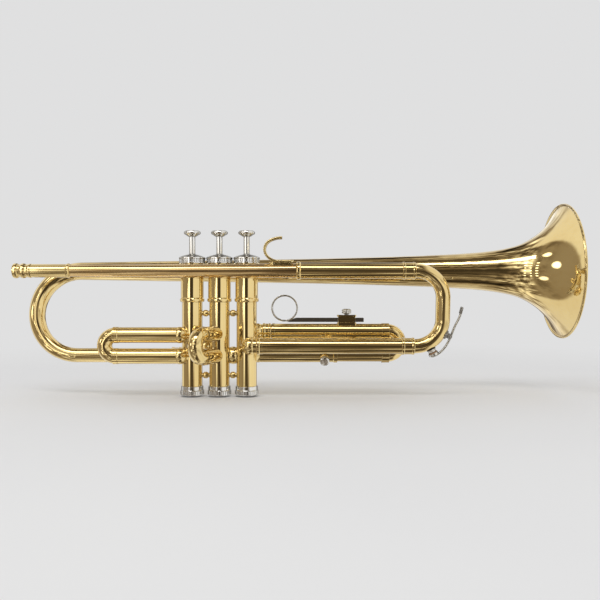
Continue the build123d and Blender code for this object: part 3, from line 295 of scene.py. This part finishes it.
def felt(name):
    """Near-black fibres."""
    m = Material(name)
    fibre = m.noise(m.coords(), scale=2200.0, detail=5.0, rough=0.7, distort=0.8)
    tint = m.ramp(fibre, [(0.3, (0.018, 0.016, 0.015)), (0.6, (0.045, 0.04, 0.038)),
                          (0.8, (0.10, 0.09, 0.085))])
    m.surface(m.principled(Base_Color=tint, Roughness=0.95, Sheen_Weight=0.6,
                           Normal=m.bump(fibre, strength=0.8, distance=0.0002)))
    return m.material


BY_SLOT = {
    "lacquered_brass": brass("gold_lacquer", TUBE_X),
    "nickel_plate": nickel("nickel_plate"),
    "nickel_silver": nickel("nickel_silver", (0.78, 0.74, 0.64), rough=0.12, grain=TUBE_X),
    "monel": nickel("piston_monel", (0.62, 0.60, 0.55), rough=0.20, grain=TUBE_Z),
    "spring_wire": nickel("spring_wire", (0.60, 0.48, 0.32), rough=0.25),
    "brass_plain": brass("bare_brass", color=(0.68, 0.50, 0.24), rough=0.3),
    "felt": felt("dark_felt"),
    "cork": cork("cork"),
    "pearl": pearl("pearl"),
}
CASING = brass("gold_lacquer_casing", grain=(1.0, 1.0, 0.08))
CAST = brass("cast_brass", rough=0.16, wave=0.8)
SATIN = nickel("nickel_satin", (0.88, 0.87, 0.83), rough=0.26)
LEADPIPE = brass("rose_brass_leadpipe", TUBE_X, color=(0.93, 0.67, 0.31), deep=(0.70, 0.42, 0.17))
BY_NAME = {
    "leadpipe": LEADPIPE,
    "finger_hook": CAST,
    "water_key": SATIN,
    "water_key_saddle": SATIN,
    "water_key_pin": SATIN,
}


def material_for(name):
    if name.startswith("valve_casing"):
        return CASING
    return BY_NAME.get(name) or BY_SLOT[SLOT_OF[name]]


for name, obj in NODES.items():
    obj.data.materials.clear()
    obj.data.materials.append(material_for(name))
    for poly in obj.data.polygons:
        poly.use_smooth = True

# each valve spring gets a mesh of its own
for k in (1, 2, 3):
    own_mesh(NODES[f"valve_spring_{k}"])


# ------------------------------------------------------------------------------ floor
def floor_material():
    """Pale board: takes soft shadows near the object, fades into the backdrop far away and
    is left out of reflections."""
    m = Material("pale_floor")
    place = m.coords()
    x, y, _ = m.split(place)
    speck = m.noise(place, scale=900.0)
    cloud = m.noise(place, scale=3.0, detail=2.0, rough=0.5)
    tint = m.mix(m.remap(cloud, (0.3, 0.7)), (0.80, 0.80, 0.80), (0.775, 0.775, 0.78))
    board = m.principled(Base_Color=tint, Roughness=0.9, Specular_IOR_Level=0.1,
                         Normal=m.bump(speck, strength=0.05, distance=0.0002))
    far = m.make("Emission", {"Color": BACKDROP})
    radius = m.calc("SQRT", x ** 2.0 + y ** 2.0)
    faded = m.mix_shader(m.rise(radius, 0.36, 0.85), board, far)
    glossy = m.make("LightPath", out="Is Glossy Ray")
    m.surface(m.mix_shader(glossy, faded, m.make("BsdfTransparent")))
    return m.material


bpy.ops.mesh.primitive_plane_add(size=FLOOR_SIZE, location=(CENTRE.x, CENTRE.y, FLOOR_Z))
floor = bpy.context.object
floor.name = "floor"
floor.data.materials.append(floor_material())

# ------------------------------------------------------------------------------ world
# Brightness round the room as (degrees, level). For the first two the turn is about X:
# 0 towards -Y, +90 up, 180 towards +Y, -90 down.
ACROSS = [
    (-180, 0.42), (-165, 0.32), (-148, 0.42), (-132, 0.58), (-112, 0.62), (-96, 0.55),
    (-80, 0.34), (-66, 0.40), (-57, 0.62), (-46, 0.42), (-30, 0.40), (-14, 0.36),
    (0, 0.22), (8, 0.22), (15, 0.55), (22, 1.10), (42, 1.25), (50, 0.50), (62, 0.32),
    (76, 0.26), (88, 0.30), (104, 0.55), (122, 0.75), (138, 0.66), (150, 0.50),
    (165, 0.34), (180, 0.42)]
# the same for reflections that lean towards the bell: dimmer, in thin bands
ACROSS_BELL = [
    (-180, 0.20), (-165, 0.10), (-150, 0.14), (-135, 0.50), (-118, 0.50), (-100, 0.42),
    (-92, 0.40), (-82, 0.12), (-60, 0.10), (-52, 0.50), (-42, 0.55), (-34, 0.20),
    (-8, 0.22), (0, 0.06), (8, 0.20), (26, 0.24), (38, 0.50), (44, 0.50), (49, 0.22),
    (72, 0.20), (95, 0.38), (108, 0.55), (118, 0.22), (127, 0.12), (142, 0.34),
    (165, 0.12), (180, 0.20)]
# turn about Z: 0 towards -Y, positive towards the bell
AROUND = [
    (-180, 0.20), (-165, 0.30), (-150, 0.85), (-128, 0.85), (-112, 0.34), (-84, 0.30),
    (-78, 0.48), (-70, 0.24), (-50, 0.30), (-32, 0.26), (-28, 1.60), (-20, 1.60),
    (-15, 0.16), (-6, 0.07), (15, 0.05), (19, 0.90), (128, 0.86), (150, 0.30), (180, 0.20)]
# gap in the sheet behind, as (height from 0 straight down to 1 straight up, level)
DOOR = [
    (0.0, 0.80), (0.30, 0.80), (0.36, 0.84), (0.38, 0.30), (0.43, 0.26), (0.45, 0.52),
    (0.52, 0.46), (0.535, 0.16), (0.575, 0.20), (0.59, 1.30), (0.625, 1.30), (0.64, 0.80),
    (0.70, 0.84), (0.78, 0.56), (1.0, 0.80)]
# round lamps: direction, size in degrees, power
ROUND_LAMPS = [
    ((-0.69, -0.35, 0.63), 4.0, 2.6),
    ((-0.88, -0.43, 0.19), 5.0, 3.4),
    ((-0.71, -0.60, -0.36), 4.2, 2.0)]


def blend(factor, first, second):
    """first where factor is 0, second where it is 1."""
    return first * (1.0 - factor) + second * factor


class Studio(Graph):
    """Reflected room of soft boxes, lamps and darker gaps, as a brightness per direction."""

    def __init__(self, world):
        super().__init__(world, "OutputWorld")
        direction = self.coords("Generated")
        self.x, self.y, self.z = self.split(direction)
        # a slow wobble keeps the lamps from looking ruled
        wobble = (self.noise(direction, scale=2.2, detail=2.0, rough=0.5) - 0.5) * 0.10
        # turn about X in degrees, as in ACROSS
        self.turn = (self.calc("ARCTAN2", self.z, self.y * -1.0) + wobble) * DEGREES
        # 1 straight along X, where the streaks would meet in a star
        self.pole = self.rise(abs(self.x), 0.66, 0.86)

    def grey_ramp(self, factor, stops):
        return self.ramp(factor, [(position, (level,) * 3) for position, level in stops])

    def turn_ramp(self, fraction, stops):
        """Grey ramp with its stops in degrees; fraction runs 0..1 over -180..180."""
        return self.grey_ramp(fraction, [((d + 180.0) / 360.0, level) for d, level in stops])

    def streaks(self, along, across, contrast, levels, shift=0.0):
        """Room clutter as streaks: frequencies in X and per degree, the noise range that is
        spread over the levels, and an offset that picks another pattern."""
        point = self.make("CombineXYZ",
                          {"X": self.x * along, "Y": self.turn * across, "Z": shift})
        return self.fade(self.noise(point, scale=1.0, detail=2.0, rough=0.6), contrast, levels)

    def walls(self):
        """Profile across for what runs along X, profile around for what stands upright."""
        fraction = (self.turn + 180.0) / 360.0
        across = blend(self.rise(self.x, -0.20, -0.02),
                       self.turn_ramp(fraction, ACROSS),
                       self.turn_ramp(fraction, ACROSS_BELL))
        azimuth = self.calc("ARCTAN2", self.x, self.y * -1.0) * DEGREES
        around = self.turn_ramp((azimuth + 180.0) / 360.0, AROUND)
        wide = self.rise(abs(self.x), 0.30, 0.55)
        level = self.fall(abs(self.z), 0.05, 0.16)
        use_around = self.calc("MAXIMUM", level, wide * self.fall(abs(self.z), 0.10, 0.42))

        lines = (self.streaks(9.0, 0.030, (0.36, 0.64), (0.45, 1.35))
                 * self.streaks(4.0, 0.10, (0.38, 0.62), (0.24, 1.66), shift=4.7))
        across = across * blend(self.fall(abs(self.x), 0.40, 0.62), 1.0, lines)
        # the end of the room with the bell is a little dimmer in the tubes
        across = across * self.fade(self.x, (-0.16, 0.14), (1.06, 0.84))
        around = around * blend(
            self.calc("MAXIMUM", level, self.pole),
            self.streaks(6.0, 0.09, (0.36, 0.64), (0.40, 1.45), shift=2.3), 1.0)
        return blend(use_around, across, around)

    def add_bell_wall(self, env):
        """Towards the bell everything opens on a bright wall."""
        wall = self.rise(self.x, 0.32, 0.52) * self.rise(abs(self.z), 0.15, 0.45)
        return blend(wall, env, 0.84)

    def add_sheet(self, env):
        """White sheet on the +Y side."""
        sheet = self.rise(self.y, 0.10, 0.24) * (
            self.fall(self.x, -0.38, -0.22) + self.rise(self.x, 0.11, 0.19))
        behind = self.rise(self.y, 0.74, 0.86) * self.rise(abs(self.z), 0.12, 0.22)
        sheet = self.calc("MAXIMUM", sheet, behind)
        light = 0.80 + self.rise(self.z, -0.6, 0.6) * 0.08
        # straight behind, a dark doorway with a lit strip above and a dim one below
        door = self.grey_ramp(self.calc("MULTIPLY_ADD", self.z, 0.5, 0.5), DOOR)
        door = door * self.streaks(6.0, 0.10, (0.36, 0.64), (0.70, 1.20), shift=3.1)
        return blend(sheet, env, blend(self.rise(self.y, 0.74, 0.82), light, door))

    def add_dim_end(self, env):
        """Dim end of the room towards the player, on the -Y side."""
        room = self.fall(self.y, 0.10, 0.20) * self.fall(self.x, -0.62, -0.46)
        clutter = self.streaks(7.0, 0.045, (0.35, 0.65), (0.19, 0.34), shift=9.1)
        dim = blend(self.pole, clutter, 0.28) * self.fade(self.x, (-0.95, -0.6), (1.12, 0.92))
        return blend(room, env, dim)

    def add_dark_patch(self, env):
        """Dark patch on the camera's side."""
        dark = (self.band(self.x, centre=0.08, half=0.12, soft=0.10)
                * self.band(self.z, centre=-0.08, half=0.14, soft=0.22)
                * self.fall(self.y, -0.2, 0.2))
        return blend(dark * 0.85, env, 0.05)

    def add_tube_lamps(self, env):
        """Two long thin lamps along X, one above and one below."""
        high = (self.band(self.turn, centre=34.0, half=1.8, soft=2.0)
                * self.fall(abs(self.x + 0.28), 0.14, 0.24))
        low = (self.band(self.turn, centre=-58.0, half=1.2, soft=1.6)
               * self.fall(abs(self.x + 0.16), 0.30, 0.40))
        lamps = high * 2.2 + low * 0.9
        return env + lamps * self.streaks(5.0, 0.02, (0.42, 0.58), (0.15, 1.0), shift=6.2)

    def add_round_lamp(self, env, direction, size, power):
        aim = Vector(direction).normalized()
        facing = self.x * aim.x + self.y * aim.y + self.z * aim.z
        outer = math.cos(math.radians(size * 1.6))
        inner = math.cos(math.radians(size * 0.5))
        return env + self.rise(facing, outer, inner) * power

    def add_bead_rows(self, env):
        """Three rows of small lamps, one lamp every 11 degrees."""
        beads = self.rise(self.calc("COSINE", self.turn * (2 * math.pi / 11.0)), 0.35, 1.0)
        span = self.band(self.turn, centre=4.0, half=30.0, soft=8.0)
        rows = (self.band(self.x, centre=-0.62, half=0.010, soft=0.020)
                + self.band(self.x, centre=-0.50, half=0.008, soft=0.020)
                + self.band(self.x, centre=-0.36, half=0.008, soft=0.020))
        return env + beads * span * (rows * 3.6)

    def warm(self, env):
        """Colour of the room: near white where it is bright, warm where it is dim."""
        channels = (("Red", 1.0, 1.0), ("Green", 0.82, 0.995), ("Blue", 0.64, 0.98))
        return self.make("CombineColor", {
            channel: env * self.fade(env, (0.04, 0.80), (dim, bright))
            for channel, dim, bright in channels})


def build_world():
    """The camera sees the backdrop, glossy rays the studio and all other rays an even fill."""
    world = bpy.data.worlds.new("studio")
    bpy.context.scene.world = world
    world.cycles.sampling_method = "NONE"
    studio = Studio(world)
    env = studio.walls()
    env = studio.add_bell_wall(env)
    env = studio.add_sheet(env)
    env = studio.add_dim_end(env)
    env = studio.add_dark_patch(env)
    env = studio.add_tube_lamps(env)
    for direction, size, power in ROUND_LAMPS:
        env = studio.add_round_lamp(env, direction, size, power)
    env = studio.add_bead_rows(env)

    room = studio.make("Background", {"Color": studio.warm(env)})
    backdrop = studio.make("Background", {"Color": BACKDROP})
    fill = studio.make("Background", {"Color": (0.80, 0.80, 0.80)})
    rays = studio.node("LightPath").outputs
    seen = studio.mix_shader(Signal(studio, rays["Is Camera Ray"]), fill, backdrop)
    studio.surface(studio.mix_shader(Signal(studio, rays["Is Glossy Ray"]), seen, room))


build_world()


# ----------------------------------------------------------------------------- lights
def softbox(name, location, target, size, power):
    light = bpy.data.lights.new(name, "AREA")
    light.shape = "RECTANGLE"
    light.size, light.size_y = size
    light.energy = power
    box = bpy.data.objects.new(name, light)
    bpy.context.scene.collection.objects.link(box)
    box.location = location
    aim = Vector(target) - Vector(location)
    box.rotation_euler = aim.to_track_quat("-Z", "Y").to_euler()
    box.visible_camera = False
    return box


softbox("key", location=(0.0, -1.2, 1.7), target=CENTRE, size=(1.6, 0.5), power=9.0)
# a strip to the front left that lights only the plated stems, buttons and caps
strip = softbox("strip", location=(-0.68, -0.80, 0.22), target=(0.22, 0.0, 0.03),
                size=(0.95, 0.30), power=1.0)
plated = bpy.data.collections.new("plated")
for name in ("top_caps", "bottom_caps", "valve_stem_1", "valve_stem_2", "valve_stem_3",
             "finger_button_1", "finger_button_2", "finger_button_3"):
    plated.objects.link(NODES[name])
strip.light_linking.receiver_collection = plated

# ----------------------------------------------------------------------------- camera
camera_data = bpy.data.cameras.new("camera")
camera_data.sensor_width = 36.0     # mm
camera_data.lens = 44.4             # mm
camera_data.clip_start = 0.01
camera = bpy.data.objects.new("camera", camera_data)
bpy.context.scene.collection.objects.link(camera)
camera.location = (0.2468, -0.638, -0.0252)
camera.rotation_euler = (math.pi / 2, 0, 0)     # level, looking along +Y
bpy.context.scene.camera = camera
bpy.context.scene.view_settings.view_transform = "Standard"
bpy.context.scene.view_settings.look = "None"
